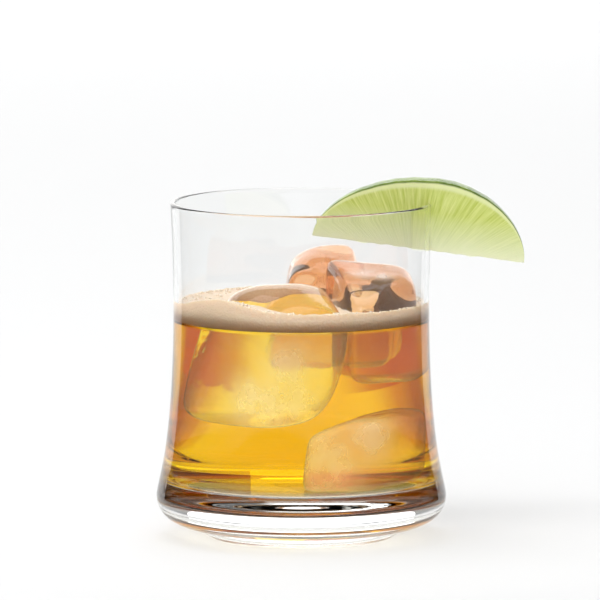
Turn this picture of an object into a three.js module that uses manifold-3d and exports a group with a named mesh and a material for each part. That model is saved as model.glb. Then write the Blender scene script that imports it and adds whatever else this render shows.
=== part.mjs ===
// Cognac and ginger ale over ice, in a flared tumbler with a lime wedge on its rim.
// Millimetres, +Z up. The origin is the middle of the flat foot that the glass rests on,
// and the lime wedge hangs over the rim on the +X side.

import * as THREE from 'three';
import { mergeVertices } from 'three/addons/utils/BufferGeometryUtils.js';
import Module from 'manifold-3d';

const wasm = await Module();
wasm.setup();

// Driving dimensions
const GAP = 0.3; // left free between a piece and its neighbour
const WELD = 1e-4; // corners this near count as one
const ROUND_SIDES = 48; // facets round the glass and what fills it
const CURVE_STEPS = 6; // points on each curve of an outline

const glass = {
  height: 100.3,
  rimRadius: 39.0,
  waistRadius: 38.15,
  waistHeight: 70,
  hipRadius: 43.25,
  hipHeight: 12.5,
  footRadius: 27.2,
  footTopRadius: 30.4,
  footHeight: 2.6,
  lipWall: 1.3,
  waistWall: 1.45,
  cornerHeight: 20.5, // where the inside leaves the wall and turns to the floor
  cornerRadius: 40.0,
  floorHeight: 16,
  floorRadius: 36.5,
  floorDish: 0.4, // how much lower the floor's middle lies
  // Points that the outline's curves lean towards, from the foot up and back down inside
  footLean: { radius: 29, height: 0.4 },
  bellyLean: { radius: 38.2, height: 3.6 },
  underHipHeight: 6.4,
  overHipHeight: 16.5,
  underWaistHeight: 26,
  overWaistHeight: 84,
  innerWaistLeanHeight: 32,
  innerHipLean: { radius: 38.4, height: 28.5 },
  cornerLean: { radius: 40.7, height: 16.6 },
};
const drinkTop = 65.5;
const froth = {
  top: 70.3,
  ringShares: [0.93, 0.8, 0.65, 0.5, 0.35, 0], // where its top has rings of corners
  swell: { x: -24, y: -27, height: 3.4, spread: 13 }, // climbs the glass at the front left
};

// Each ice chunk is a centre and its melted faces: a direction and how far out the face lies.
const ICE_SOFTNESS = 9; // higher makes the edges between faces sharper
const ICE_GRID = 8; // facets along each side of the cube that a chunk is shaped from
const iceFront = {
  centre: [-8, -16, 57],
  faces: [
    { towards: [0.05, 0.1, -1], out: 19.5 },
    { towards: [-1, 0, 0.27], out: 18 },
    { towards: [0.966, 0.256, 0], out: 17.9 },
    { towards: [0.9, 0, -0.45], out: 20 },
    { towards: [0.05, 1, -0.05], out: 12.5 },
    { towards: [0.1, -1, -0.05], out: 17.5 },
    { towards: [-0.62, -0.78, 0], out: 16 },
    { towards: [-0.24, -0.4, 0.9], out: 18.2 },
    { towards: [0.36, -0.2, 0.9], out: 22 },
    { towards: [-0.1, 0.35, 0.93], out: 21 },
  ],
};
const iceRight = {
  centre: [22.5, -9, 64],
  faces: [
    { towards: [0, 0, -1], out: 15.5 },
    { towards: [-0.966, -0.256, 0], out: 12.2 },
    { towards: [1, 0, -0.05], out: 11.6 },
    { towards: [0.9, 0, 0.44], out: 16.4 },
    { towards: [0.1, 1, 0.05], out: 12.5 },
    { towards: [0.15, -1, 0], out: 18 },
    { towards: [0.72, -0.69, 0], out: 11.6 },
    { towards: [0.06, -0.18, 0.98], out: 16.2 },
    { towards: [0, -0.6, 0.8], out: 17 },
  ],
};
const iceBack = {
  centre: [5, 15, 66],
  faces: [
    { towards: [0, 0, -1], out: 16 },
    { towards: [-1, 0, 0.1], out: 10.3 },
    { towards: [1, 0.1, 0], out: 12.5 },
    { towards: [0, 1, 0], out: 13.5 },
    { towards: [0, -1, 0], out: 9.2 },
    { towards: [0.05, -0.25, 0.97], out: 15.6 },
    { towards: [-0.55, -0.1, 0.85], out: 15.6 },
  ],
};

const lime = {
  tip: [3.2, -2, 90.3], // the left end of the wedge's inner edge
  length: 63.6,
  droop: 7.3, // degrees that the edge falls towards its outer end
  radius: 21.7,
  widest: 0.56, // share of the length, from the tip
  pointedness: 0.55, // 0.5 is an ellipse, higher draws the ends out
  frontLean: 12, // degrees that the front cut face leans to the viewer
  backLean: 38,
  rings: 22,
  sides: 56,
};

// Materials
const paint = (colour, roughness) =>
  new THREE.MeshStandardMaterial({ color: colour, roughness, metalness: 0 });
const glassPaint = paint('#e6ebec', 0.05);
const drinkPaint = paint('#d98a1e', 0.1);
const frothPaint = paint('#d2b49a', 0.7);
const icePaint = paint('#e9d9bd', 0.1);
const limePaint = paint('#c6cf6b', 0.4);

// Closes a geometry for cutting: shared corners are joined and flat slivers at the axis dropped.
function solidFrom(geometry) {
  const bare = geometry.clone();
  bare.deleteAttribute('normal');
  bare.deleteAttribute('uv');
  const joined = mergeVertices(bare, WELD);
  const corners = joined.index.array;
  const kept = [];
  for (let i = 0; i < corners.length; i += 3) {
    const [a, b, c] = [corners[i], corners[i + 1], corners[i + 2]];
    if (a !== b && b !== c && c !== a) kept.push(a, b, c);
  }
  return new wasm.Manifold(new wasm.Mesh({
    numProp: 3,
    vertProperties: new Float32Array(joined.attributes.position.array),
    triVerts: new Uint32Array(kept),
  }));
}

function geometryFrom(solid) {
  const cut = solid.getMesh();
  const geometry = new THREE.BufferGeometry();
  geometry.setAttribute('position', new THREE.BufferAttribute(cut.vertProperties, 3));
  geometry.setIndex(new THREE.BufferAttribute(cut.triVerts, 1));
  return geometry;
}

// Cutting can leave loose scraps between neighbours; only the largest piece is kept.
function largestPiece(solid) {
  const pieces = solid.decompose();
  return pieces.reduce((best, piece) => (piece.volume() > best.volume() ? piece : best));
}

// Turns an outline of (radius, height) points about the upright axis.
function turned(outline, sides = ROUND_SIDES) {
  return new THREE.LatheGeometry(outline, sides).rotateX(Math.PI / 2);
}

// The inside of the glass from the waist to the middle of the floor, drawn in by an inset.
function insideCurve(path, inset) {
  const waist = glass.waistRadius - glass.waistWall - inset;
  const { innerHipLean, cornerLean } = glass;
  path.bezierCurveTo(
    waist, glass.innerWaistLeanHeight,
    innerHipLean.radius - inset, innerHipLean.height,
    glass.cornerRadius - inset, glass.cornerHeight,
  );
  path.quadraticCurveTo(
    cornerLean.radius - inset, cornerLean.height + inset,
    glass.floorRadius, glass.floorHeight + inset,
  );
  path.lineTo(0, glass.floorHeight + inset - glass.floorDish);
}

function glassGeometry() {
  const lip = glass.lipWall / 2;
  const path = new THREE.Path();
  path.moveTo(0, 0);
  path.lineTo(glass.footRadius, 0);
  path.quadraticCurveTo(
    glass.footLean.radius, glass.footLean.height,
    glass.footTopRadius, glass.footHeight,
  );
  path.bezierCurveTo(
    glass.bellyLean.radius, glass.bellyLean.height,
    glass.hipRadius, glass.underHipHeight,
    glass.hipRadius, glass.hipHeight,
  );
  path.bezierCurveTo(
    glass.hipRadius, glass.overHipHeight,
    glass.waistRadius, glass.underWaistHeight,
    glass.waistRadius, glass.waistHeight,
  );
  path.quadraticCurveTo(
    glass.waistRadius, glass.overWaistHeight,
    glass.rimRadius, glass.height - lip,
  );
  path.absarc(glass.rimRadius - lip, glass.height - lip, lip, 0, Math.PI, false);
  path.quadraticCurveTo(
    glass.waistRadius - glass.waistWall, glass.overWaistHeight,
    glass.waistRadius - glass.waistWall, glass.waistHeight,
  );
  insideCurve(path, 0);
  return turned(path.getPoints(CURVE_STEPS));
}

// A face-bounded body with melted edges: along each direction the faces' limits are
// blended by a power sum, so that flat faces stay and corners round off.
function iceGeometry(chunk, grow = 0) {
  const grid = new THREE.BoxGeometry(2, 2, 2, ICE_GRID, ICE_GRID, ICE_GRID);
  grid.deleteAttribute('normal');
  grid.deleteAttribute('uv');
  const geometry = mergeVertices(grid, WELD);
  const faces = chunk.faces.map(({ towards, out }) => ({
    normal: new THREE.Vector3(...towards).normalize(),
    limit: out + grow,
  }));
  const centre = new THREE.Vector3(...chunk.centre);
  const place = geometry.attributes.position;
  const point = new THREE.Vector3();
  for (let i = 0; i < place.count; i += 1) {
    point.fromBufferAttribute(place, i).normalize();
    let sum = 0;
    for (const { normal, limit } of faces) {
      sum += Math.max(0, point.dot(normal) / limit) ** ICE_SOFTNESS;
    }
    point.multiplyScalar(sum ** (-1 / ICE_SOFTNESS)).add(centre);
    place.setXYZ(i, point.x, point.y, point.z);
  }
  return geometry;
}

const iceChunks = [iceFront, iceRight, iceBack];

// Cuts what surrounds the ice back by the gap.
function clearOfIce(solid) {
  return iceChunks.reduce(
    (rest, chunk) => rest.subtract(solidFrom(iceGeometry(chunk, GAP))),
    solid,
  );
}

function drinkGeometry() {
  const path = new THREE.Path();
  const waist = glass.waistRadius - glass.waistWall - GAP;
  path.moveTo(0, drinkTop);
  path.lineTo(waist, drinkTop);
  insideCurve(path, GAP);
  const outline = path.getPoints(CURVE_STEPS).reverse();
  return geometryFrom(largestPiece(clearOfIce(solidFrom(turned(outline)))));
}

// The froth lies on the drink and swells where it climbs the glass.
function frothGeometry() {
  const outer = glass.waistRadius - glass.waistWall - GAP;
  const bottom = drinkTop + GAP;
  const path = new THREE.Path();
  path.moveTo(0, bottom);
  path.lineTo(outer, bottom);
  path.lineTo(outer, froth.top);
  for (const share of froth.ringShares) path.lineTo(outer * share, froth.top);
  const layer = turned(path.getPoints());
  const place = layer.attributes.position;
  const { x, y, height, spread } = froth.swell;
  for (let i = 0; i < place.count; i += 1) {
    if (place.getZ(i) < froth.top - GAP) continue;
    const away = Math.hypot(place.getX(i) - x, place.getY(i) - y) / spread;
    place.setZ(i, froth.top + height * Math.exp(-away * away));
  }
  return geometryFrom(largestPiece(clearOfIce(solidFrom(layer))));
}

// The wall of the glass with the gap round it, which the wedge's slit is cut by.
function rimSleeve() {
  const low = glass.waistHeight;
  const high = glass.height + GAP;
  const outline = [
    new THREE.Vector2(glass.waistRadius - glass.waistWall - GAP, low),
    new THREE.Vector2(glass.waistRadius + GAP, low),
    new THREE.Vector2(glass.rimRadius + GAP, high),
    new THREE.Vector2(glass.rimRadius - glass.lipWall - GAP, high),
    new THREE.Vector2(glass.waistRadius - glass.waistWall - GAP, low),
  ];
  return turned(outline, ROUND_SIDES * 2);
}

// A whole lime lying along +X from its tip, as a turned body with drawn-out ends.
function wholeLime() {
  const outline = [];
  for (let i = 0; i <= lime.rings; i += 1) {
    const share = (1 - Math.cos((Math.PI * i) / lime.rings)) / 2;
    const side = share < lime.widest ? lime.widest : 1 - lime.widest;
    const off = (share - lime.widest) / side;
    const radius = lime.radius * Math.max(0, 1 - off * off) ** lime.pointedness;
    outline.push(new THREE.Vector2(radius, share * lime.length));
  }
  return new THREE.LatheGeometry(outline, lime.sides).rotateZ(-Math.PI / 2);
}

// The sector between the two cut faces, running past both ends of the lime.
function limeSector() {
  const reach = lime.radius * 2;
  const front = THREE.MathUtils.degToRad(lime.frontLean);
  const back = THREE.MathUtils.degToRad(lime.backLean);
  const sector = new THREE.Shape();
  sector.moveTo(0, 0);
  sector.lineTo(Math.sin(back) * reach, Math.cos(back) * reach);
  sector.lineTo(-Math.sin(front) * reach, Math.cos(front) * reach);
  sector.closePath();
  const prism = new THREE.ExtrudeGeometry(sector, { depth: lime.length * 2, bevelEnabled: false });
  prism.translate(0, 0, -lime.length / 2);
  return prism.rotateX(Math.PI / 2).rotateZ(Math.PI / 2);
}

function limeGeometry() {
  const wedge = geometryFrom(solidFrom(wholeLime()).intersect(solidFrom(limeSector())));
  wedge.rotateY(THREE.MathUtils.degToRad(lime.droop));
  wedge.translate(...lime.tip);
  return geometryFrom(solidFrom(wedge).subtract(solidFrom(rimSleeve())));
}

function piece(name, geometry, material) {
  const mesh = new THREE.Mesh(geometry, material);
  mesh.name = name;
  return mesh;
}

const drink = new THREE.Group();
drink.add(
  piece('glass', glassGeometry(), glassPaint),
  piece('drink', drinkGeometry(), drinkPaint),
  piece('froth', frothGeometry(), frothPaint),
  piece('ice_front', iceGeometry(iceFront), icePaint),
  piece('ice_right', iceGeometry(iceRight), icePaint),
  piece('ice_back', iceGeometry(iceBack), icePaint),
  piece('lime_wedge', limeGeometry(), limePaint),
);

export default drink;
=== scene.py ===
"""Cognac and ginger ale over ice, in a flared tumbler with a lime wedge on its rim."""
import math

import bmesh
import bpy
import numpy as np
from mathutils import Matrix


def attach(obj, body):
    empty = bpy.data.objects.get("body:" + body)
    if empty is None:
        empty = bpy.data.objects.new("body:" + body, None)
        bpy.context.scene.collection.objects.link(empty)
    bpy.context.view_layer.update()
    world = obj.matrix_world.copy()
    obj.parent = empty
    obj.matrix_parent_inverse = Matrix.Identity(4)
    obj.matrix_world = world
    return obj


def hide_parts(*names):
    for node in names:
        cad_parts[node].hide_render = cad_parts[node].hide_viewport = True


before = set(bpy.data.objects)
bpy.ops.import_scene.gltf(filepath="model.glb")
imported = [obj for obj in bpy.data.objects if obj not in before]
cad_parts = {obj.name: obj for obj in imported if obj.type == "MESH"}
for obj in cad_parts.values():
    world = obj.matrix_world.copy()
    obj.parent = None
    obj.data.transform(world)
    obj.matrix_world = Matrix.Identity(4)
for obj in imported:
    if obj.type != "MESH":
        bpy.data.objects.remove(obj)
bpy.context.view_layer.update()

# The tumbler is one piece of clear soda-lime glass: blown to a thin wall that flares a
# little to the rim, left heavy in the base, rounded off at the hip, and ground flat on
# a low foot.
rim_height = 0.1003
rim_radius = 0.0390
waist_radius = 0.03815
waist_height = 0.070
hip_radius = 0.04325
hip_height = 0.0125
foot_radius = 0.0272
foot_top_radius = 0.0304
foot_height = 0.0026
lip_wall = 0.0013
waist_wall = 0.00145
corner_height = 0.0205
corner_radius = 0.0400
floor_height = 0.016
floor_radius = 0.0365
floor_dish = 0.0004
foot_edge = (foot_radius + 0.0006, 0.0005)
foot_lean = (foot_radius + 0.0022, 0.0012)
belly_lean = (0.0382, 0.0036)
under_hip_height = 0.0064
over_hip_height = hip_height + 0.004
under_waist_height = waist_height - 0.044
over_waist_height = waist_height + 0.014
inner_waist_lean_height = 0.032
glass_sides = 192


def bezier(*corners, steps=26):
    """Points on a Bezier curve: each corner weighs in by its Bernstein polynomial."""
    t = np.linspace(0.0, 1.0, steps)[:, None]
    order = len(corners) - 1
    weights = [math.comb(order, k) * (1 - t) ** (order - k) * t**k for k in range(order + 1)]
    return sum(weight * np.array(corner) for weight, corner in zip(weights, corners))


def turned(outline, sides):
    """Turns an outline of (radius, height) about Z: x = r cos a, y = r sin a, z = height."""
    turn = np.linspace(0.0, 2 * np.pi, sides, endpoint=False)
    radius, height = outline[:, 0:1], outline[:, 1:2]
    return np.stack([radius * np.cos(turn), radius * np.sin(turn), height + 0 * turn], axis=-1)


def piece_from_grid(name, grid, material, round_trip=True, maps=None):
    """One quad between each four neighbours of the grid; corners that meet are merged,
    and a round trip joins the last column to the first. maps are named (u, v) grids."""
    rows, columns = grid.shape[:2]
    index = np.arange(rows * columns).reshape(rows, columns)
    if round_trip:
        index = np.hstack([index, index[:, :1]])
    quads = np.stack([index[:-1, :-1], index[:-1, 1:], index[1:, 1:], index[1:, :-1]], axis=-1)
    mesh = bpy.data.meshes.new(name)
    mesh.from_pydata(grid.reshape(-1, 3).tolist(), [], quads.reshape(-1, 4).tolist())
    corners = np.empty(len(mesh.loops), dtype=np.int32)
    mesh.loops.foreach_get("vertex_index", corners)
    for map_name, values in (maps or {}).items():
        layer = mesh.uv_layers.new(name=map_name)
        layer.uv.foreach_set("vector", values.reshape(-1, 2)[corners].ravel())
    shell = bmesh.new()
    shell.from_mesh(mesh)
    bmesh.ops.remove_doubles(shell, verts=shell.verts, dist=1e-7)
    bmesh.ops.recalc_face_normals(shell, faces=shell.faces)
    shell.to_mesh(mesh)
    shell.free()
    mesh.shade_smooth()
    mesh.materials.append(material)
    piece = bpy.data.objects.new(name, mesh)
    bpy.context.scene.collection.objects.link(piece)
    return piece


def finish_named(name):
    """A new material with its node tree, its links and its Principled shader."""
    material = bpy.data.materials.new(name)
    material.use_nodes = True
    tree = material.node_tree
    return material, tree.nodes, tree.links, tree.nodes["Principled BSDF"]


def add_node(nodes, kind, **sockets):
    """A new node with plain values on its named inputs."""
    node = nodes.new(kind)
    for socket, value in sockets.items():
        node.inputs[socket.replace("_", " ")].default_value = value
    return node


def carried_over(nodes, links, source, low, high, to_low, to_high):
    """A node output carried in a straight line from low..high to to_low..to_high."""
    scale = add_node(nodes, "ShaderNodeMapRange", From_Min=low, From_Max=high,
                     To_Min=to_low, To_Max=to_high)
    links.new(source, scale.inputs["Value"])
    return scale.outputs["Result"]


def inside_outline(reach):
    """The inside of the glass from the waist to the floor's middle, moved out by reach."""
    waist = waist_radius - waist_wall + reach
    corner = corner_radius + reach
    level = floor_height - reach
    bottom = level - floor_dish
    wall = bezier(
        (waist, waist_height), (waist, inner_waist_lean_height),
        (corner - 0.0016, corner_height + 0.008), (corner, corner_height), steps=60,
    )
    turn = bezier((corner, corner_height), (corner + 0.0007, level + 0.0006), (floor_radius, level))
    dish = bezier((floor_radius, level), (floor_radius / 2, bottom), (0.0, bottom))
    return np.vstack([wall, turn, dish])


def glass_outline():
    """Foot, underside, hip, flare, lip and inside, as Bezier curves end to end."""
    lip = lip_wall / 2
    lip_turn = np.linspace(0.0, np.pi, 20)[:, None]
    inner_waist = waist_radius - waist_wall
    return np.vstack([
        [(0.0, 0.0)],
        bezier((foot_radius - 0.0008, 0.0), (foot_radius, 0.0), foot_edge, steps=8),
        bezier(foot_edge, foot_lean, (foot_top_radius, foot_height), steps=12),
        bezier((foot_top_radius, foot_height), belly_lean,
               (hip_radius, under_hip_height), (hip_radius, hip_height), steps=40),
        bezier((hip_radius, hip_height), (hip_radius, over_hip_height),
               (waist_radius, under_waist_height), (waist_radius, waist_height), steps=60),
        bezier((waist_radius, waist_height), (waist_radius, over_waist_height),
               (rim_radius, rim_height - lip)),
        np.hstack([rim_radius - lip + lip * np.cos(lip_turn),
                   rim_height - lip + lip * np.sin(lip_turn)]),
        bezier((rim_radius - lip_wall, rim_height - lip), (inner_waist, over_waist_height),
               (inner_waist, waist_height)),
        inside_outline(0.0),
    ])


def clear_glass():
    """Polished clear glass with the faint waves of blowing, and a ground foot ring."""
    material, nodes, links, shader = finish_named("clear_glass")
    shader.inputs["Base Color"].default_value = (0.985, 0.992, 0.99, 1)
    shader.inputs["Transmission Weight"].default_value = 1.0
    shader.inputs["IOR"].default_value = 1.5
    place = nodes.new("ShaderNodeTexCoord")
    waves = add_node(nodes, "ShaderNodeTexNoise", Scale=38.0, Detail=1.0)
    links.new(place.outputs["Object"], waves.inputs["Vector"])
    bump = add_node(nodes, "ShaderNodeBump", Strength=0.03, Distance=0.0006)
    links.new(waves.outputs["Fac"], bump.inputs["Height"])
    links.new(bump.outputs["Normal"], shader.inputs["Normal"])
    height = nodes.new("ShaderNodeSeparateXYZ")
    links.new(place.outputs["Object"], height.inputs["Vector"])
    ground = carried_over(nodes, links, height.outputs["Z"], 0.0, 0.0003, 0.45, 0.0)
    links.new(ground, shader.inputs["Roughness"])
    return material


glass = piece_from_grid("tumbler", turned(glass_outline(), glass_sides), clear_glass())
glass.visible_shadow = False
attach(glass, "root")
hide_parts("glass")

# The ice: four chunks of machine ice, half melted, with flat faces gone wavy, rounded
# edges, melt hollows and patches of frost. Three float and stand out of the drink, and
# one lies sunk at the front right.
ice_softness = 9
melt_waves = 14
melt_wave_height = 0.00006
melt_wave_pace = 3.4
snow_white = (0.98, 0.98, 0.98, 1)
# Painted glow: the faint light that frosty ice gives off, though it is no lamp.
painted_frost_glow = (0.04, 0.04, 0.07, 1)
# Share of the painted glow colour that the ice gives off above the froth.
glow_share = 0.07
ice_front = {
    "centre": (-0.008, -0.016, 0.057),
    "faces": [
        ((0.05, 0.1, -1), 0.0195), ((-1, 0, 0.27), 0.018), ((0.966, 0.256, 0), 0.0179),
        ((0.9, 0, -0.45), 0.020), ((0.05, 1, -0.05), 0.0125), ((0.1, -1, -0.05), 0.0175),
        ((-0.62, -0.78, 0), 0.016), ((-0.24, -0.4, 0.9), 0.0182), ((0.36, -0.2, 0.9), 0.022),
        ((-0.1, 0.35, 0.93), 0.021),
    ],
    "hollows": [((-0.25, -0.55, 0.8), 0.0012, 0.06), ((-0.9, -0.35, 0.1), 0.0010, 0.03)],
    "frost": [((-0.35, -0.72, -0.6), 0.06), ((0.0, -0.77, -0.64), 0.09),
              ((0.35, -0.74, -0.58), 0.06), ((0.25, -0.95, -0.1), 0.10)],
    "seed": 3,
}
ice_right = {
    "centre": (0.0225, -0.009, 0.064),
    "faces": [
        ((0, 0, -1), 0.0155), ((-0.966, -0.256, 0), 0.0122), ((1, 0, -0.05), 0.0116),
        ((0.9, 0, 0.44), 0.0164), ((0.1, 1, 0.05), 0.0125), ((0.15, -1, 0), 0.018),
        ((0.72, -0.69, 0), 0.0116), ((0.06, -0.18, 0.98), 0.0162), ((0, -0.6, 0.8), 0.017),
    ],
    "hollows": [((0.3, -0.65, 0.7), 0.0010, 0.02), ((-0.3, -0.6, 0.75), 0.0012, 0.025)],
    "frost": [((-0.1, -0.1, -1), 0.06), ((-0.25, -0.1, 0.98), 0.03), ((0.1, -0.2, 0.98), 0.02)],
    "seed": 5,
}
ice_back = {
    "centre": (0.005, 0.015, 0.066),
    "faces": [
        ((0, 0, -1), 0.016), ((-1, 0, 0.1), 0.0103), ((1, 0.1, 0), 0.0125),
        ((0, 1, 0), 0.0135), ((0, -1, 0), 0.0092), ((0.05, -0.25, 0.97), 0.0156),
        ((-0.55, -0.1, 0.85), 0.0156),
    ],
    "hollows": [((0.1, -0.5, 0.85), 0.0016, 0.03)],
    "frost": [((0, 0, -1), 0.10)],
    "seed": 8,
}
ice_sunk = {
    "centre": (0.017, -0.014, 0.0285),
    "faces": [
        ((0, 0.05, -1), 0.0115), ((-1, 0, 0.1), 0.0155), ((1, 0, -0.12), 0.015),
        ((0.05, -1, 0.05), 0.0180), ((0.72, -0.69, 0), 0.0135), ((0, 1, 0.1), 0.012),
        ((-0.4, 0.1, 0.92), 0.0095), ((0.15, -0.1, 1), 0.0112),
    ],
    "hollows": [((0.8, -0.5, 0.2), 0.0012, 0.03)],
    "frost": [((-0.5, -0.85, -0.1), 0.16), ((0.2, -0.9, 0.3), 0.14)],
    "seed": 13,
}


def chunk_aims(rows=130, columns=190):
    """Unit directions on (latitude, longitude)."""
    latitude = np.linspace(0.0, np.pi, rows)[:, None]
    longitude = np.linspace(0.0, 2 * np.pi, columns, endpoint=False)[None, :]
    upward = np.cos(latitude) + 0 * longitude
    return np.stack([np.sin(latitude) * np.cos(longitude), np.sin(latitude) * np.sin(longitude),
                     upward], axis=-1)


def bell(aim, towards, width):
    """One at a direction, and falling off about it as exp(-(1 - cosine) / width)."""
    normal = np.array(towards) / np.linalg.norm(towards)
    return np.exp(-(1 - aim @ normal) / width)


def frost_map(chunk):
    """How frosty the chunk is at each point: the largest of its frost bells, as (u, u)."""
    aim = chunk_aims()
    amount = np.max([bell(aim, towards, width) for towards, width in chunk["frost"]], axis=0)
    return np.stack([amount, amount], axis=-1)


def chunk_grid(chunk, grow=0.0):
    """A melted chunk on (latitude, longitude): along a unit direction u the surface lies at
    (sum of (u.n / out)^softness)^(-1/softness), less a bell-shaped hollow about each hollow's
    direction, plus low sine waves."""
    aim = chunk_aims()
    total = 0.0
    for towards, out in chunk["faces"]:
        normal = np.array(towards) / np.linalg.norm(towards)
        total = total + np.maximum(0.0, aim @ normal / out) ** ice_softness
    radius = total ** (-1 / ice_softness)
    for towards, depth, width in chunk["hollows"]:
        radius = radius - depth * bell(aim, towards, width)
    draw = np.random.default_rng(chunk["seed"])
    waves = draw.normal(scale=melt_wave_pace, size=(melt_waves, 3))
    phases = draw.uniform(0.0, 2 * np.pi, melt_waves)
    radius = radius + melt_wave_height * np.sin(aim @ waves.T + phases).sum(axis=-1) + grow
    return np.array(chunk["centre"]) + aim * radius[..., None]


def mixed_colour(nodes, links, share, first, second):
    """Between first and second by the share; each is a colour or a node's output."""
    mix = nodes.new("ShaderNodeMix")
    mix.data_type = "RGBA"
    links.new(share, mix.inputs["Factor"])
    for socket, colour in (("A", first), ("B", second)):
        if isinstance(colour, tuple):
            mix.inputs[socket].default_value = colour
        else:
            links.new(colour, mix.inputs[socket])
    return mix.outputs["Result"]


def melting_ice(name, absorption_colour, glow):
    """Wet ice with a rippled melt skin, white and rough where its frost map and fine noise
    together say so. Above the froth its colour is tinted with a painted glow of the drink
    below it, and it gives off a faint painted glow there and where it is frosty."""
    material, nodes, links, shader = finish_named(name)
    shader.inputs["IOR"].default_value = 1.315
    place = nodes.new("ShaderNodeTexCoord")
    height = nodes.new("ShaderNodeSeparateXYZ")
    links.new(place.outputs["Object"], height.inputs["Vector"])
    out_of_drink = carried_over(nodes, links, height.outputs["Z"], 0.068, 0.072, 0.0, 1.0)
    # Painted glow: above the froth the ice's colour is tinted to stand in for the drink's light below
    # it.
    painted_glow_tint = mixed_colour(nodes, links, out_of_drink, snow_white, glow)
    cloud = add_node(nodes, "ShaderNodeTexNoise", Scale=190.0, Detail=6.0, Roughness=0.55)
    links.new(place.outputs["Object"], cloud.inputs["Vector"])
    frost = nodes.new("ShaderNodeUVMap")
    frost.uv_map = "frost"
    amount = nodes.new("ShaderNodeSeparateXYZ")
    links.new(frost.outputs["UV"], amount.inputs["Vector"])
    speckle = carried_over(nodes, links, cloud.outputs["Fac"], 0.3, 0.7, 0.55, 1.0)
    frosting = nodes.new("ShaderNodeMath")
    frosting.operation = "MULTIPLY"
    frosting.use_clamp = True
    links.new(amount.outputs["X"], frosting.inputs[0])
    links.new(speckle, frosting.inputs[1])
    frosted = frosting.outputs["Value"]
    clear_share = carried_over(nodes, links, frosted, 0.0, 1.0, 0.98, 0.55)
    links.new(clear_share, shader.inputs["Transmission Weight"])
    rough_share = carried_over(nodes, links, frosted, 0.0, 1.0, 0.015, 0.4)
    links.new(rough_share, shader.inputs["Roughness"])
    whitened = mixed_colour(nodes, links, frosted, painted_glow_tint, snow_white)
    links.new(whitened, shader.inputs["Base Color"])
    # Painted glow: the ice gives off a faint light above the froth and where it is frosty.
    dim_glow = tuple(glow_share * channel for channel in glow[:3]) + (1,)
    painted_drink_glow = mixed_colour(nodes, links, out_of_drink, (0.0, 0.0, 0.0, 1), dim_glow)
    painted_glow = mixed_colour(nodes, links, frosted, painted_drink_glow, painted_frost_glow)
    links.new(painted_glow, shader.inputs["Emission Color"])
    shader.inputs["Emission Strength"].default_value = 1.0
    ripple = add_node(nodes, "ShaderNodeTexNoise", Scale=130.0, Detail=3.0)
    links.new(place.outputs["Object"], ripple.inputs["Vector"])
    bump = add_node(nodes, "ShaderNodeBump", Strength=0.22, Distance=0.001)
    links.new(ripple.outputs["Fac"], bump.inputs["Height"])
    links.new(bump.outputs["Normal"], shader.inputs["Normal"])
    depth = nodes.new("ShaderNodeVolumeAbsorption")
    depth.inputs["Color"].default_value = absorption_colour
    depth.inputs["Density"].default_value = 20.0
    links.new(depth.outputs["Volume"], nodes["Material Output"].inputs["Volume"])
    return material


ice_finish = melting_ice("melting_ice", (0.99, 0.93, 0.82, 1), (0.95, 0.74, 0.50, 1))
# A second copy of the ice with deeper amber absorption and a darker painted glow, for the right and
# back chunks.
darker_glow_ice = melting_ice("darker_glow_ice", (0.97, 0.86, 0.65, 1), (0.74, 0.42, 0.22, 1))
ice_chunks = {
    "ice_chunk_front": ice_front,
    "ice_chunk_right": ice_right,
    "ice_chunk_back": ice_back,
    "ice_chunk_sunk": ice_sunk,
}
for name, chunk in ice_chunks.items():
    # The right and back chunks take the copy with the darker painted glow.
    finish = darker_glow_ice if name in ("ice_chunk_right", "ice_chunk_back") else ice_finish
    ice = piece_from_grid(name, chunk_grid(chunk), finish, maps={"frost": frost_map(chunk)})
    ice.visible_shadow = False
    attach(ice, "root")
    if chunk is not ice_sunk:
        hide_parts(name.replace("chunk_", ""))

# The drink is cognac let down with ginger ale: a clear amber liquid that wets the glass
# and fills every space between the ice chunks. It reaches just into the glass's wall, and
# the ice just into it, so that no air shows between them.
drink_top = 0.0656
wetting = 0.00012


def cut_out(piece, cutter):
    """Takes the cutter's body out of the piece, and removes the cutter."""
    taking = piece.modifiers.new("taking", "BOOLEAN")
    taking.operation = "DIFFERENCE"
    taking.solver = "MANIFOLD"
    taking.object = cutter
    bpy.context.view_layer.update()
    cut = bpy.data.meshes.new_from_object(piece.evaluated_get(bpy.context.evaluated_depsgraph_get()))
    piece.modifiers.clear()
    piece.data = cut
    cut.name = piece.name
    bpy.data.objects.remove(cutter)


def clear_of_ice(piece, chunks):
    """Cuts the chunks' places out of a piece, a little small so that the ice overlaps it."""
    for chunk in chunks:
        cutter = piece_from_grid("cutter", chunk_grid(chunk, grow=-wetting / 2), ice_finish)
        cut_out(piece, cutter)


def amber_drink():
    """Clear liquid that takes out most blue within a centimetre or two, and green slowly."""
    material, nodes, links, shader = finish_named("amber_drink")
    shader.inputs["Base Color"].default_value = (1, 1, 1, 1)
    shader.inputs["Transmission Weight"].default_value = 1.0
    shader.inputs["Roughness"].default_value = 0.0
    shader.inputs["IOR"].default_value = 1.336
    depth = nodes.new("ShaderNodeVolumeAbsorption")
    depth.inputs["Color"].default_value = (0.983, 0.914, 0.0, 1)
    depth.inputs["Density"].default_value = 130.0
    links.new(depth.outputs["Volume"], nodes["Material Output"].inputs["Volume"])
    return material


inside = inside_outline(wetting)
drink_inside = inside[inside[:, 1] < drink_top]
drink_edge = (drink_inside[0, 0], drink_top)
drink_outline = np.vstack([[(0.0, drink_top), (0.02, drink_top), drink_edge], drink_inside])
drink = piece_from_grid("drink_liquid", turned(drink_outline, glass_sides), amber_drink())
clear_of_ice(drink, ice_chunks.values())
drink.visible_shadow = False
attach(drink, "root")
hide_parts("drink")

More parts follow.
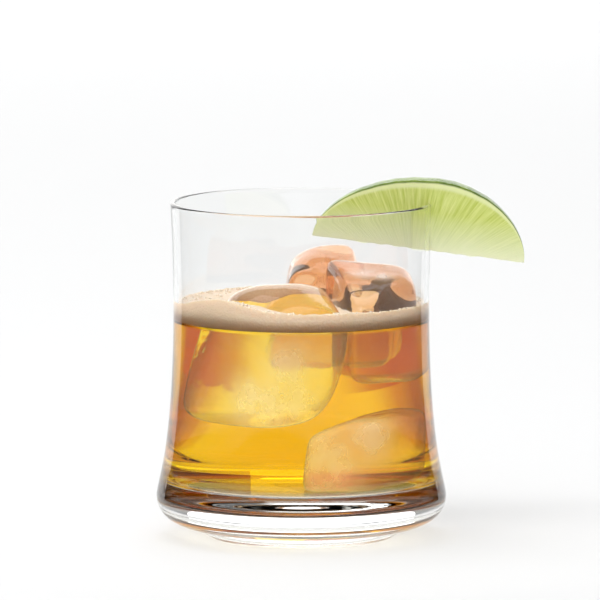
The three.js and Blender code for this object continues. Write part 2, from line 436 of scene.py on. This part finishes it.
# The froth is what the ginger ale leaves: a layer of fine beige bubbles that lies on the
# drink, clings to the glass and the ice, and has climbed the wall at the front left.
froth_bottom = 0.0655
froth_top = 0.0703
swell_place = (-0.024, -0.027)
swell_height = 0.0034
swell_spread = 0.013
cling_height = 0.0005
cling_width = 0.0009
froth_ripple = 0.00012
froth_radius = waist_radius - waist_wall + wetting
# The froth's colour runs mostly by height, from a darker, warmer colour at its bottom to a paler one
# at its top.
froth_low_colour = (0.46, 0.23, 0.09)
froth_high_colour = (0.62, 0.48, 0.34)


def froth_level(x, y):
    """The froth's surface: a flat level, one bell-shaped swell, a rise of 0.5 mm where it
    clings to the glass, and low sine ripples."""
    swell = swell_height * np.exp(
        -((x - swell_place[0]) ** 2 + (y - swell_place[1]) ** 2) / swell_spread**2)
    cling = cling_height * np.exp(-(froth_radius - np.hypot(x, y)) / cling_width)
    beat = np.sin(730 * x + 1.1) * np.sin(610 * y) + np.sin(1400 * y + 900 * x)
    return froth_top + swell + cling + froth_ripple * beat


def froth_grid(rings=90, sides=240):
    """Underside, side and top as rings that run from the middle out and back again."""
    under = np.array([0.0, 0.35, 0.7, 1.0]) * froth_radius
    over = np.linspace(1.0, 0.0, rings) ** 0.8 * froth_radius
    radius = np.concatenate([under, over])[:, None]
    turn = np.linspace(0.0, 2 * np.pi, sides, endpoint=False)[None, :]
    x, y = radius * np.cos(turn), radius * np.sin(turn)
    level = froth_level(x, y)
    level[: len(under)] = froth_bottom
    return np.stack([x, y, level], axis=-1)


def colour_ramp(nodes, stops):
    """A colour ramp node with a colour at each place from 0 to 1."""
    ramp = nodes.new("ShaderNodeValToRGB")
    elements = ramp.color_ramp.elements
    elements[0].position, elements[1].position = stops[0][0], stops[-1][0]
    elements[0].color, elements[1].color = (*stops[0][1], 1), (*stops[-1][1], 1)
    for place, colour in stops[1:-1]:
        elements.new(place).color = (*colour, 1)
    return ramp


def beige_froth():
    """Fine foam: beige, warmer towards the drink below it, with bubble-sized relief."""
    material, nodes, links, shader = finish_named("beige_froth")
    shader.inputs["Roughness"].default_value = 0.55
    shader.inputs["Subsurface Weight"].default_value = 0.6
    shader.inputs["Subsurface Radius"].default_value = (1.0, 0.7, 0.45)
    shader.inputs["Subsurface Scale"].default_value = 0.003
    place = nodes.new("ShaderNodeTexCoord")
    height = nodes.new("ShaderNodeSeparateXYZ")
    links.new(place.outputs["Object"], height.inputs["Vector"])
    level = carried_over(
        nodes, links, height.outputs["Z"], froth_bottom, froth_top + 0.001, 0.0, 1.0)
    patches = add_node(nodes, "ShaderNodeTexNoise", Scale=120.0, Detail=5.0)
    links.new(place.outputs["Object"], patches.inputs["Vector"])
    mottle = nodes.new("ShaderNodeMath")
    mottle.operation = "MULTIPLY_ADD"
    mottle.inputs[1].default_value = 0.35
    links.new(patches.outputs["Fac"], mottle.inputs[0])
    links.new(level, mottle.inputs[2])
    tint = colour_ramp(nodes, [(0.1, froth_low_colour), (0.75, froth_high_colour)])
    links.new(mottle.outputs["Value"], tint.inputs["Fac"])
    links.new(tint.outputs["Color"], shader.inputs["Base Color"])
    bubbles = add_node(nodes, "ShaderNodeTexVoronoi", Scale=1500.0)
    links.new(place.outputs["Object"], bubbles.inputs["Vector"])
    bump = add_node(nodes, "ShaderNodeBump", Strength=0.4, Distance=0.0003)
    links.new(bubbles.outputs["Distance"], bump.inputs["Height"])
    links.new(bump.outputs["Normal"], shader.inputs["Normal"])
    return material


def bubble_cloud(name, centres, radii, material):
    """Small balls in one mesh: centre + radius * (a unit ball on 6 by 10 latitudes and
    longitudes), for all balls at once."""
    latitude = np.linspace(0.0, np.pi, 7)[:, None]
    longitude = np.linspace(0.0, 2 * np.pi, 10, endpoint=False)[None, :]
    ball = np.stack([np.sin(latitude) * np.cos(longitude), np.sin(latitude) * np.sin(longitude),
                     np.cos(latitude) + 0 * longitude], axis=-1).reshape(-1, 3)
    points = centres[:, None, :] + radii[:, None, None] * ball[None, :, :]
    index = np.arange(70).reshape(7, 10)
    index = np.hstack([index, index[:, :1]])
    quads = np.stack([index[:-1, :-1], index[1:, :-1], index[1:, 1:], index[:-1, 1:]], axis=-1)
    quads = quads.reshape(1, -1, 4) + 70 * np.arange(len(centres))[:, None, None]
    mesh = bpy.data.meshes.new(name)
    mesh.from_pydata(points.reshape(-1, 3).tolist(), [], quads.reshape(-1, 4).tolist())
    shell = bmesh.new()
    shell.from_mesh(mesh)
    bmesh.ops.remove_doubles(shell, verts=shell.verts, dist=1e-8)
    shell.to_mesh(mesh)
    shell.free()
    mesh.shade_smooth()
    mesh.materials.append(material)
    piece = bpy.data.objects.new(name, mesh)
    bpy.context.scene.collection.objects.link(piece)
    return piece


def outside_chunk(points, chunk, apart):
    """Whether each point is further than apart outside a chunk's faces' power sum."""
    away = points - np.array(chunk["centre"])
    length = np.linalg.norm(away, axis=-1)
    total = 0.0
    for towards, out in chunk["faces"]:
        normal = np.array(towards) / np.linalg.norm(towards)
        total = total + np.maximum(0.0, away @ normal / length / out) ** ice_softness
    return length > total ** (-1 / ice_softness) + apart


def froth_bubbles(count=520):
    """Bubble centres and radii on the froth: most along the glass's wall, the rest strewn."""
    draw = np.random.default_rng(34)
    turn = draw.uniform(0.0, 2 * np.pi, count)
    radii = draw.uniform(0.00018, 0.00055, count)
    by_wall = froth_radius - 0.0002 - radii - draw.exponential(0.0012, count)
    strewn = froth_radius * np.sqrt(draw.uniform(0.0, 0.93, count))
    away = np.where(draw.uniform(size=count) < 0.6, by_wall, strewn)
    x, y = away * np.cos(turn), away * np.sin(turn)
    centres = np.stack([x, y, froth_level(x, y) + 0.15 * radii], axis=-1)
    free = np.ones(count, dtype=bool)
    for chunk in (ice_front, ice_right, ice_back):
        free = free & outside_chunk(centres, chunk, 0.0008)
    return centres[free], radii[free]


def wet_bubble_skin():
    """The glossy film of a single bubble, cream with a little uneven warmth."""
    material, nodes, links, shader = finish_named("wet_bubble_skin")
    shader.inputs["Roughness"].default_value = 0.12
    place = nodes.new("ShaderNodeTexCoord")
    uneven = add_node(nodes, "ShaderNodeTexNoise", Scale=300.0, Detail=2.0)
    links.new(place.outputs["Object"], uneven.inputs["Vector"])
    film = mixed_colour(
        nodes, links, uneven.outputs["Fac"], (0.66, 0.50, 0.34, 1), (0.86, 0.76, 0.63, 1))
    links.new(film, shader.inputs["Base Color"])
    return material


froth = piece_from_grid("froth_layer", froth_grid(), beige_froth())
clear_of_ice(froth, [ice_front, ice_right, ice_back])
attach(froth, "root")
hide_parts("froth")
bubbles = bubble_cloud("froth_bubbles", *froth_bubbles(), wet_bubble_skin())
bubbles.visible_shadow = False
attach(bubbles, "root")

# The lime wedge is cut lengthwise from a whole lime: wet pulp on both cut faces, a band
# of pale pith, a thin dimpled green rind, and a slit from its inner edge that rides on
# the glass's rim.
wedge_tip = np.array((0.0032, -0.002, 0.0903))
wedge_length = 0.0636
wedge_droop = math.radians(7.3)
lime_radius = 0.0217
lime_widest = 0.56
lime_pointedness = 0.55
front_lean = math.radians(12)
back_lean = math.radians(38)
slit_clearance = 0.0002
way_round = 3.0
pith_from = 0.290
pith_full = 0.307
rind_from = 0.320
rind_full = 0.327
inner_edge_green = (0.84, 0.86, 0.62, 1)
pith_green = (0.76, 0.80, 0.42, 1)


def wedge_grid(rows=220, columns=260):
    """A wedge on (share of the length, way round the section). The whole lime's radius is
    (1 - off^2)^pointedness of its widest; the way round runs out along the front face,
    over the rind and back along the back face."""
    share = (1 - np.cos(np.linspace(0.0, np.pi, rows)))[:, None] / 2
    way = np.linspace(0.0, way_round, columns)[None, :]
    side = np.where(share < lime_widest, lime_widest, 1 - lime_widest)
    off = (share - lime_widest) / side
    whole = lime_radius * np.maximum(0.0, 1 - off**2) ** lime_pointedness
    outward = np.clip(np.minimum(way, way_round - way), 0.0, 1.0)
    angle = -front_lean + (front_lean + back_lean) * np.clip(way - 1.0, 0.0, 1.0)
    draw = np.random.default_rng(21)
    beats = draw.uniform(20, 90, 8)
    shifts = draw.uniform(0, 6.28, 8)
    uneven = sum(np.sin(beat * share + shift) for beat, shift in zip(beats, shifts)) / 8
    radius = whole * outward + 0.0005 * uneven * (1 - outward) ** 3 * np.minimum(1, whole / 0.008)
    radius = radius + 0.00018 * uneven * outward**6 * np.minimum(1, whole / 0.008)
    along = share * wedge_length + 0 * way
    across = radius * np.sin(angle)
    upward = radius * np.cos(angle)
    x = along * math.cos(wedge_droop) + upward * math.sin(wedge_droop)
    z = upward * math.cos(wedge_droop) - along * math.sin(wedge_droop)
    grid = np.stack([x, across, z], axis=-1) + wedge_tip
    fan = (share - 0.5) / (0.35 + 0.65 * radius / lime_radius)
    maps = {
        "section": np.stack([share + 0 * way, way + 0 * share], axis=-1),
        "fan": np.stack([fan, radius / lime_radius], axis=-1),
    }
    return grid, maps


def band_stops(start, full):
    """Ramp stops for a band that is alike on both cut faces: none before the start, whole
    from full to one less full, and none again after one less the start."""
    none, whole = (0, 0, 0), (1, 1, 1)
    return [(start, none), (full, whole), (1 - full, whole), (1 - start, none)]


def lime_flesh():
    """Pulp in fine fanned streaks, paler to the inner edge, a pale pith band under the
    rind, and a green rind with oil dimples."""
    material, nodes, links, shader = finish_named("lime_fruit")
    shader.inputs["Roughness"].default_value = 0.32
    shader.inputs["Subsurface Weight"].default_value = 0.25
    shader.inputs["Subsurface Radius"].default_value = (0.9, 1.0, 0.4)
    shader.inputs["Subsurface Scale"].default_value = 0.0025
    section = nodes.new("ShaderNodeUVMap")
    section.uv_map = "section"
    fan = nodes.new("ShaderNodeUVMap")
    fan.uv_map = "fan"
    stretch = nodes.new("ShaderNodeMapping")
    stretch.inputs["Scale"].default_value = (75.0, 2.2, 1.0)
    links.new(fan.outputs["UV"], stretch.inputs["Vector"])
    streaks = add_node(nodes, "ShaderNodeTexNoise", Scale=1.0, Detail=5.0, Roughness=0.6)
    links.new(stretch.outputs["Vector"], streaks.inputs["Vector"])
    pulp = colour_ramp(nodes, [(0.3, (0.46, 0.55, 0.07)), (0.7, (0.74, 0.79, 0.29))])
    links.new(streaks.outputs["Fac"], pulp.inputs["Fac"])
    apart = nodes.new("ShaderNodeSeparateXYZ")
    links.new(section.outputs["UV"], apart.inputs["Vector"])
    fanned = nodes.new("ShaderNodeSeparateXYZ")
    links.new(fan.outputs["UV"], fanned.inputs["Vector"])
    pale_share = carried_over(nodes, links, fanned.outputs["Y"], 0.55, 0.0, 0.0, 0.85)
    paler = mixed_colour(nodes, links, pale_share, pulp.outputs["Color"], inner_edge_green)
    round_share = carried_over(nodes, links, apart.outputs["Y"], 0.0, way_round, 0.0, 1.0)
    pith_share = colour_ramp(nodes, band_stops(pith_from, pith_full))
    links.new(round_share, pith_share.inputs["Fac"])
    with_pith = mixed_colour(nodes, links, pith_share.outputs["Color"], paler, pith_green)
    rind_share = colour_ramp(nodes, band_stops(rind_from, rind_full))
    links.new(round_share, rind_share.inputs["Fac"])
    place = nodes.new("ShaderNodeTexCoord")
    blotch = add_node(nodes, "ShaderNodeTexNoise", Scale=180.0, Detail=4.0)
    links.new(place.outputs["Object"], blotch.inputs["Vector"])
    rind = colour_ramp(nodes, [(0.35, (0.07, 0.13, 0.018)), (0.7, (0.20, 0.28, 0.045))])
    links.new(blotch.outputs["Fac"], rind.inputs["Fac"])
    with_rind = mixed_colour(
        nodes, links, rind_share.outputs["Color"], with_pith, rind.outputs["Color"])
    links.new(with_rind, shader.inputs["Base Color"])
    dimples = add_node(nodes, "ShaderNodeTexVoronoi", Scale=900.0)
    links.new(place.outputs["Object"], dimples.inputs["Vector"])
    relief = nodes.new("ShaderNodeMix")
    links.new(rind_share.outputs["Color"], relief.inputs["Factor"])
    links.new(streaks.outputs["Fac"], relief.inputs["A"])
    links.new(dimples.outputs["Distance"], relief.inputs["B"])
    bump = add_node(nodes, "ShaderNodeBump", Strength=0.45, Distance=0.0005)
    links.new(relief.outputs["Result"], bump.inputs["Height"])
    links.new(bump.outputs["Normal"], shader.inputs["Normal"])
    return material


wedge_points, wedge_maps = wedge_grid()
wedge = piece_from_grid("lime_wedge_cut", wedge_points, lime_flesh(), False, wedge_maps)
sleeve_low = waist_height
sleeve_high = rim_height + slit_clearance
sleeve_outline = np.array([
    (waist_radius - waist_wall - slit_clearance, sleeve_low),
    (waist_radius + slit_clearance, sleeve_low),
    (rim_radius + slit_clearance, sleeve_high),
    (rim_radius - lip_wall - slit_clearance, sleeve_high),
    (waist_radius - waist_wall - slit_clearance, sleeve_low),
])
sleeve = piece_from_grid("sleeve", turned(sleeve_outline, glass_sides), ice_finish)
cut_out(wedge, sleeve)
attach(wedge, "root")
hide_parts("lime_wedge")

# The studio: a pale paper floor that turns up into a wall all round, four soft boxes, and
# cards about the glass. The coloured cards only show in what is seen through the drink,
# and the dark one in front only in what the glass mirrors.
view_distance = 3.0
view_rise = math.radians(6.9)
view_target = (-0.0004, 0.0, 0.0708)
view_lens = 604.0
wall_distance = 4.6

stage_outline = np.vstack([
    [(0.0, 0.0), (0.3, 0.0)],
    bezier((wall_distance - 1.2, 0.0), (wall_distance, 0.0), (wall_distance, 1.4)),
    [(wall_distance, 3.4)],
])
stage_paint, _, _, stage_shader = finish_named("pale_paper")
stage_shader.inputs["Base Color"].default_value = (0.66, 0.66, 0.66, 1)
stage_shader.inputs["Roughness"].default_value = 0.8
stage = piece_from_grid("pale_floor", turned(stage_outline, 96), stage_paint)
stage.data.flip_normals()


def soft_box(name, place, target, width, height, power):
    """An oblong area light at a place, facing a target."""
    lamp = bpy.data.lights.new(name, "AREA")
    lamp.shape = "RECTANGLE"
    lamp.size = width
    lamp.size_y = height
    lamp.energy = power
    box = bpy.data.objects.new(name, lamp)
    aim = np.array(target) - np.array(place)
    box.location = place
    box.rotation_euler = (math.acos(-aim[2] / np.linalg.norm(aim)), 0.0,
                          math.atan2(aim[1], aim[0]) - math.pi / 2)
    box.visible_camera = False
    bpy.context.scene.collection.objects.link(box)
    return box


glass_heart = (0.0, 0.0, 0.05)
soft_box("back_panel", (0.0, 1.95, 0.75), (0.0, 0.0, 0.35), width=3.4, height=1.5, power=26)
soft_box("overhead", (-0.2, 0.3, 1.8), (0.0, 0.3, 0.0), width=1.4, height=1.4, power=17)
front_fill = soft_box(
    "front_fill", (-1.1, -2.4, 1.9), glass_heart, width=5.0, height=3.6, power=84)
front_fill.visible_glossy = False
front_fill.visible_transmission = False
high_front = soft_box(
    "high_front", (-0.4, -0.85, 1.8), glass_heart, width=0.9, height=0.9, power=16)
high_front.visible_glossy = False


empty_glass_crossings = 4.5


def studio_card(name, near, far, first_turn, last_turn, shades, crossings=empty_glass_crossings):
    """A card about the glass, between two turns in degrees from +Y about Z, that only shows
    in what lies more surfaces deep than crossings: x = r sin a, y = r cos a, from (r, z)
    near to (r, z) far. shades are pairs of a turn and the card's colour there."""
    turn = np.linspace(first_turn, last_turn, 90)[None, :]
    share = np.array([0.0, 1.0])[:, None]
    distance = near[0] + (far[0] - near[0]) * share
    height = near[1] + (far[1] - near[1]) * share
    points = np.stack([distance * np.sin(np.radians(turn)), distance * np.cos(np.radians(turn)),
                       height + 0 * turn], axis=-1)
    round_share = (turn - first_turn) / (last_turn - first_turn)
    along = np.stack([round_share + 0 * share, share + 0 * turn], axis=-1)
    paint, nodes, links, shader = finish_named(name)
    shader.inputs["Base Color"].default_value = (0, 0, 0, 1)
    shader.inputs["Specular IOR Level"].default_value = 0.0
    shader.inputs["Emission Strength"].default_value = 1.0
    arc = nodes.new("ShaderNodeUVMap")
    arc.uv_map = "along"
    split = nodes.new("ShaderNodeSeparateXYZ")
    links.new(arc.outputs["UV"], split.inputs["Vector"])
    stops = [((at - first_turn) / (last_turn - first_turn), colour) for at, colour in shades]
    shade = colour_ramp(nodes, stops)
    links.new(split.outputs["X"], shade.inputs["Fac"])
    links.new(shade.outputs["Color"], shader.inputs["Emission Color"])
    ray = nodes.new("ShaderNodeLightPath")
    deep = nodes.new("ShaderNodeMath")
    deep.operation = "GREATER_THAN"
    links.new(ray.outputs["Transmission Depth"], deep.inputs[0])
    deep.inputs[1].default_value = crossings
    unseen = nodes.new("ShaderNodeBsdfTransparent")
    shown = nodes.new("ShaderNodeMixShader")
    links.new(deep.outputs["Value"], shown.inputs["Fac"])
    links.new(unseen.outputs["BSDF"], shown.inputs[1])
    links.new(shader.outputs["BSDF"], shown.inputs[2])
    links.new(shown.outputs["Shader"], nodes["Material Output"].inputs["Surface"])
    card = piece_from_grid(name, points, paint, False, {"along": along})
    card.visible_camera = False
    card.visible_diffuse = False
    card.visible_shadow = False
    return card


white = (1.25, 1.25, 1.25)
cream = (1.0, 0.8, 0.52)
amber = (0.85, 0.5, 0.2)
rust = (0.5, 0.2, 0.06)
ember = (0.66, 0.18, 0.03)
brown = (0.22, 0.09, 0.035)
dark = (0.02, 0.02, 0.02)
card_lift = 0.0005
card_join = 0.24
card_wall = 0.51
studio_card(
    "near_floor_card", (0.046, card_lift), (card_join, card_lift), -180, 180,
    [(-180, amber), (-78, amber), (-68, cream), (-42, cream), (-35, rust), (-28, rust),
     (-19, amber), (-11, white), (11, white), (19, amber), (28, rust), (35, rust), (42, cream),
     (68, cream), (78, amber), (180, amber)],
)
studio_card(
    "far_floor_card", (card_join, card_lift), (0.50, card_lift), -180, 180,
    [(-180, amber), (-50, cream), (-42, cream), (-36, ember), (-19, ember), (-12, amber),
     (-6, white), (6, white), (12, amber), (19, ember), (36, ember), (42, cream), (50, cream),
     (180, amber)],
)
for side_name, side in (("left", -1), ("right", 1)):
    studio_card(
        f"side_card_{side_name}", (card_wall, 0.045), (card_wall, 0.45), 9 * side, 88 * side,
        [(9 * side, amber), (15 * side, rust), (22 * side, brown), (40 * side, brown),
         (44 * side, cream), (88 * side, amber)],
    )
front_glow = studio_card(
    "front_glow_card", (card_wall, 0.0), (card_wall, 0.6), 90, 270,
    [(90, amber), (125, cream), (150, amber), (180, cream), (210, amber), (235, cream), (270, amber)],
)
front_glow.visible_glossy = False
front_card = studio_card(
    "front_card", (0.13, 0.0), (0.13, 0.3), 58, 302, [(58, dark), (302, dark)], crossings=-1.0)
front_card.visible_transmission = False

world = bpy.data.worlds.new("studio_air")
world.use_nodes = True
world.node_tree.nodes["Background"].inputs["Color"].default_value = (0.8, 0.81, 0.82, 1)
world.node_tree.nodes["Background"].inputs["Strength"].default_value = 0.4
bpy.context.scene.world = world
bpy.context.scene.view_settings.view_transform = "Standard"
bpy.context.scene.cycles.max_bounces = 18
bpy.context.scene.cycles.glossy_bounces = 8
bpy.context.scene.cycles.transmission_bounces = 16

camera_data = bpy.data.cameras.new("camera")
camera_data.sensor_width = 36.0
camera_data.lens = view_lens
camera = bpy.data.objects.new("camera", camera_data)
camera.location = (
    view_target[0],
    -view_distance * math.cos(view_rise),
    view_target[2] + view_distance * math.sin(view_rise),
)
camera.rotation_euler = (math.pi / 2 - view_rise, 0.0, 0.0)
bpy.context.scene.collection.objects.link(camera)
bpy.context.scene.camera = camera
